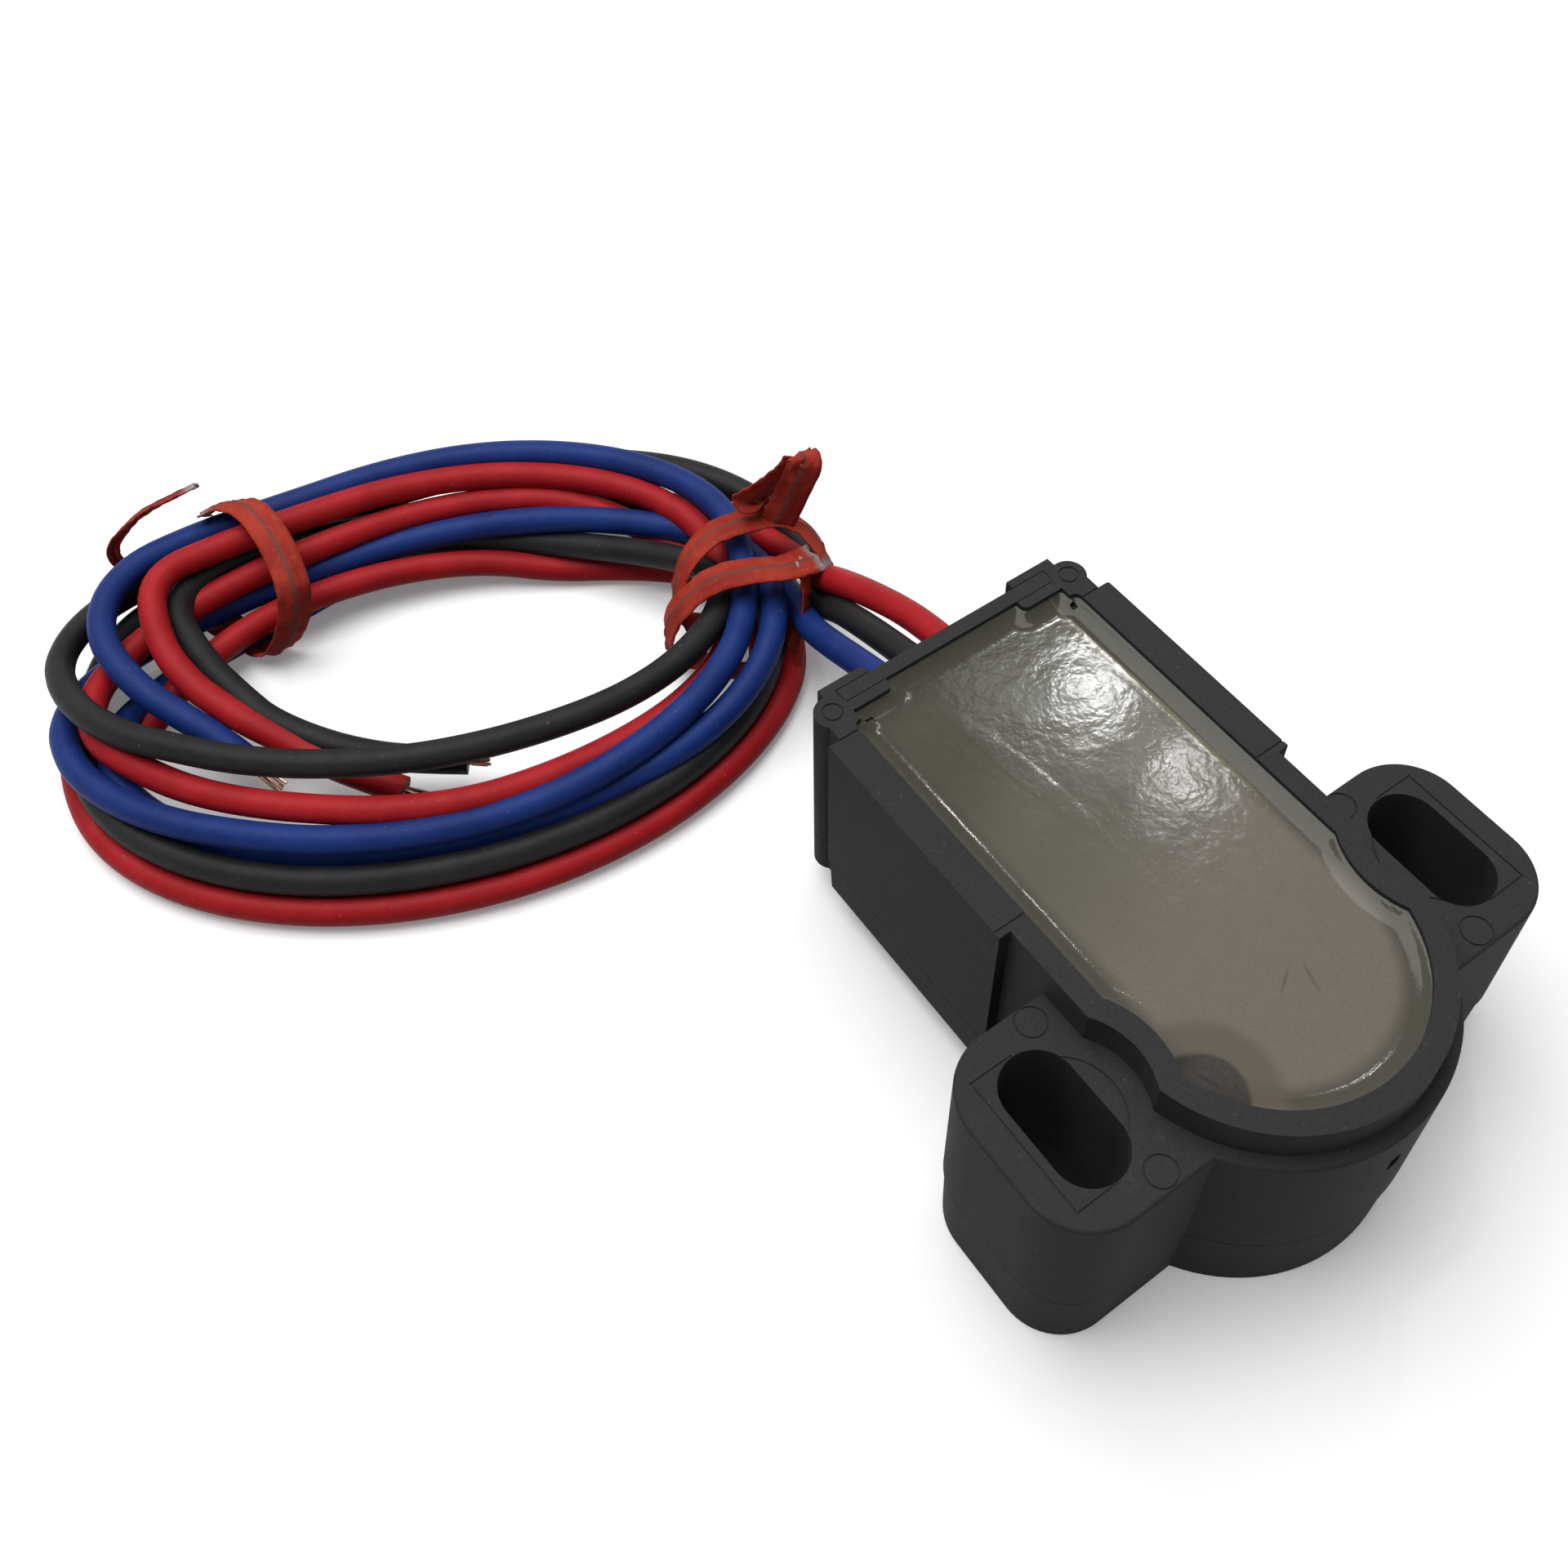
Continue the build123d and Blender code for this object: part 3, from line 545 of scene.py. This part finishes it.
def paper_strip(bm, path, width, seed, torn_start, torn_end):
    """A strip of tie paper along a line of (middle, across) pairs, with the wire's ridge down its middle."""
    rows, columns, torn_rows = len(path), 7, 9
    ridge_height, crinkle_height, fray = 0.3, 0.16, 0.7
    ridge = bm.verts.layers.float["ridge"]
    torn = bm.verts.layers.float["torn"]
    grid = bmesh.ops.create_grid(bm, x_segments=rows - 1, y_segments=columns - 1, size=0.5)["verts"]
    for vert in grid:
        row = round((vert.co.x + 0.5) * (rows - 1))
        column = round((vert.co.y + 0.5) * (columns - 1))
        middle, across = path[row]
        ahead = path[min(row + 1, rows - 1)][0] - path[max(row - 1, 0)][0]
        out = across.cross(ahead).normalized()
        share = column / (columns - 1) - 0.5
        crinkle = noise.noise(Vector((row * 0.55, share * 4.0, seed))) * crinkle_height
        lift = ridge_height * math.exp(-(share / 0.12) ** 2) + crinkle
        frayed = noise.noise(Vector((share * 9.0, seed, 2.0))) * fray
        vert[ridge] = math.exp(-(share / 0.16) ** 2)
        shift = Vector()
        to_tear = min(row if torn_start else rows, rows - 1 - row if torn_end else rows)
        vert[torn] = max(1.0 - to_tear / torn_rows, 0.0)
        if to_tear == 0:
            shift = ahead.normalized() * frayed * MM
        vert.co = middle + across * share * width * MM + out * lift * MM + shift


def tie_piece(name, strips, node):
    """One twist tie made of strips, each a path, a width, a seed and whether its start and end are torn."""
    bm = bmesh.new()
    bm.verts.layers.float.new("ridge")
    bm.verts.layers.float.new("torn")
    for path, width, seed, start, end in strips:
        paper_strip(bm, path, width, seed, start, end)
    tie = piece(name, bm, paper_finish)
    paper = tie.modifiers.new("paper", "SOLIDIFY")
    paper.thickness = 0.14 * MM
    for polygon in tie.data.polygons:
        polygon.use_smooth = True
    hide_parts(node)
    return tie


def tie_place(turns, out):
    """Where a tie sits: the bundle's middle there, the way the wires run and the way out of the coil."""
    nudge = 0.004
    along = (coil_point(turns + nudge, 0, 0) - coil_point(turns - nudge, 0, 0)).normalized()
    return coil_point(turns, out, BUNDLE_HEIGHT), along, along.cross(Vector((0, 0, 1)))


def tie_path(place, points, axis=None):
    """A smooth line through points given as (along, out, up) millimetres from a tie's place.

    Each step also has the strip's sideways direction, which lies flat on the bundle or along a given axis.
    """
    middle, along, outward = place
    up = Vector((0, 0, 1))
    spots = [along * a + outward * o + up * u for a, o, u in points]
    line = []
    for i in range(len(spots) - 1):
        before, start = spots[max(i - 1, 0)], spots[i]
        end, after = spots[i + 1], spots[min(i + 2, len(spots) - 1)]
        for step in range(STEPS_PER_POINT):
            t = step / STEPS_PER_POINT
            line.append(0.5 * (2 * start + (end - before) * t
                               + (2 * before - 5 * start + 4 * end - after) * t * t
                               + (3 * start - before - 3 * end + after) * t ** 3))
    line.append(spots[-1])
    path = []
    for i, spot in enumerate(line):
        ahead = line[min(i + 1, len(line) - 1)] - line[max(i - 1, 0)]
        sideways = ahead.cross(spot - along * spot.dot(along))
        if axis:
            sideways = along * axis[0] + outward * axis[1] + up * axis[2]
            sideways -= ahead * sideways.dot(ahead) / ahead.length_squared
        path.append((middle + spot * MM, sideways.normalized()))
    return path


paper_finish = tie_paper()
# Points of each strip: millimetres along the wires, out of the coil and up from the tie's place
left_place = tie_place(0.325, 0.0)
left_band = [(3.1, 4.6, 3.9), (1.5, 4.1, 4.5), (0.3, 2.8, 5.0), (-0.3, 0.6, 5.1), (-0.4, -2.7, 4.6),
             (-0.1, -4.9, 3.2), (0.5, -5.4, 1.0), (1.6, -5.2, -1.4), (2.8, -4.0, -3.3), (4.0, -1.0, -3.7),
             (5.4, 2.5, -3.7)]
left_tail = [(5.0, 1.6, -3.6), (7.4, 5.2, -3.0), (9.2, 6.9, -0.6), (9.8, 7.0, 1.6), (8.8, 6.8, 3.3),
             (6.6, 6.4, 4.8), (4.3, 5.6, 5.8), (2.7, 4.7, 6.8)]
left_tie = tie_piece("left_tie", [
    (tie_path(left_place, left_band), 2.5, 1.0, True, False),
    (tie_path(left_place, left_tail), 1.0, 2.0, False, True),
], "twist_tie_left")

right_place = tie_place(0.005, 0.5)
upper_band = [(1.2, -3.0, -3.7), (0.6, -5.6, -1.6), (0.9, -6.0, 0.9), (1.9, -4.9, 3.3), (2.7, -2.7, 4.8),
              (2.8, -0.2, 5.2), (2.5, 2.2, 5.2), (1.2, 3.8, 4.8), (-0.3, 4.6, 4.0), (-1.4, 5.0, 2.8)]
lower_band = [(-2.4, -4.4, -3.6), (-1.6, -7.0, -2.2), (-0.9, -7.2, -0.2), (-1.2, -6.3, 2.3),
              (-1.3, -3.9, 4.4), (-1.8, -1.0, 5.0), (-2.2, 1.2, 4.9), (-1.8, 2.9, 4.5), (-1.2, 4.2, 4.0)]
outer_band = [(-1.6, 3.0, 4.4), (-2.5, 2.9, 3.2), (-3.3, 2.4, 1.6), (-4.0, 1.8, 0.2), (-4.7, 0.8, -2.2),
              (-4.4, -0.8, -3.6), (-3.2, -3.6, -3.6)]
fold_front = [(2.0, 2.1, 5.2), (1.7, 2.5, 6.4), (1.4, 3.1, 8.4), (1.0, 3.7, 10.6), (1.0, 4.1, 11.8),
              (1.6, 3.8, 12.1)]
fold_back = [(1.5, 3.9, 11.9), (1.8, 3.6, 11.2), (2.2, 2.7, 9.9), (2.7, 1.6, 8.5), (3.1, 0.7, 7.6),
             (3.4, 0.5, 6.9), (3.4, 0.8, 6.2), (3.3, 1.8, 5.6)]
right_tie = tie_piece("right_tie", [
    (tie_path(right_place, upper_band), 2.3, 3.0, False, True),
    (tie_path(right_place, lower_band), 2.4, 5.0, False, True),
    (tie_path(right_place, outer_band), 2.2, 6.0, True, False),
    (tie_path(right_place, fold_front, (-0.57, 0.76, -0.31)), 2.5, 8.0, False, False),
    (tie_path(right_place, fold_back, (-0.24, -0.34, 0.91)), 2.5, 9.0, False, False),
], "twist_tie_right")


# Floor, light and camera

def backdrop():
    """A pale floor that shows white but throws little light back up, and can be looked through from below."""
    half_size, drop, near_glow = 1.6, 0.1 * MM, 0.16
    bm = bmesh.new()
    bmesh.ops.create_grid(bm, x_segments=2, y_segments=2, size=half_size,
                          matrix=Matrix.Translation((0.0, 0.0, -drop)))
    f = Finish("pale_floor")
    colour = f.mix(f.seen(), rgb(0.12, 0.12, 0.12), rgb(0.92, 0.92, 0.92))
    distance = f.node("ShaderNodeVectorMath", {"operation": "LENGTH"}, {0: f.place}, out="Value")
    glow = f.seen() * (near_glow + (1.0 - near_glow) * f.step(distance, 0.1, 0.4))
    below = f.node("ShaderNodeNewGeometry", out="Backfacing")
    pale = f.surface(Base_Color=colour, Roughness=0.9, Specular_IOR_Level=0.0, Alpha=1.0 - below,
                     Emission_Color=glow, Emission_Strength=1.0)
    floor = add_mesh("floor", bm, pale)


def softbox(name, place, target, size, watts):
    """A lamp with a flat face of a given size, turned to its target."""
    light = bpy.data.lights.new(name, "AREA")
    light.shape = "RECTANGLE"
    light.size, light.size_y = size
    light.energy = watts
    lamp = add(name, light)
    lamp.location = place
    lamp.rotation_euler = (Vector(target) - Vector(place)).to_track_quat("-Z", "Y").to_euler()


def surroundings():
    """A white studio that lights the part only a little."""
    world = bpy.data.worlds.new("studio")
    bpy.context.scene.world = world
    world.use_nodes = True
    g = Graph(world.node_tree)
    ambient = g.node("ShaderNodeBackground", None, {"Color": rgb(0.96, 0.98, 1.0), "Strength": 0.22})
    shown = g.node("ShaderNodeBackground", None, {"Color": rgb(1.0, 1.0, 1.0), "Strength": 1.0})
    both = g.node("ShaderNodeMixShader", None, {0: g.seen(), 1: ambient, 2: shown})
    output = g.tree.nodes.new("ShaderNodeOutputWorld")
    g.feed(output.inputs["Surface"], both)


def photo_camera():
    """The photograph's viewpoint, found from the housing's known edges."""
    turn, rise, roll = (math.radians(angle) for angle in (-34.536, 49.193, -1.070))
    back = Vector((math.sin(turn) * math.cos(rise), -math.cos(turn) * math.cos(rise), math.sin(rise)))
    right = Vector((math.cos(turn), math.sin(turn), 0.0))
    up = back.cross(right)
    level = right * math.cos(roll) + up * math.sin(roll)
    upright = up * math.cos(roll) - right * math.sin(roll)
    data = bpy.data.cameras.new("photo_camera")
    data.sensor_width = 36.0
    data.lens = 41.11
    data.shift_x = -0.0077
    data.shift_y = -0.1285
    data.clip_start = 0.005
    camera = add("photo_camera", data)
    camera.matrix_world = Matrix((level, upright, back)).transposed().to_4x4()
    camera.location = Vector((-48.36, -25.49, 106.48)) * MM
    bpy.context.scene.camera = camera


backdrop()
surroundings()
window_aim = (0.0, 0.02, 0.0)
softbox("overhead", (-0.07, 0.14, 0.50), (-0.01, 0.03, 0.0), (0.44, 0.44), 2.75)
softbox("window_pane", (0.199, 0.185, 0.34), window_aim, (0.012, 0.009), 0.065)
softbox("window_edge", (0.180, 0.197, 0.34), window_aim, (0.030, 0.012), 0.008)
softbox("window_sill", (0.199, 0.146, 0.34), window_aim, (0.013, 0.010), 0.032)
photo_camera()
bpy.context.scene.view_settings.view_transform = "Standard"
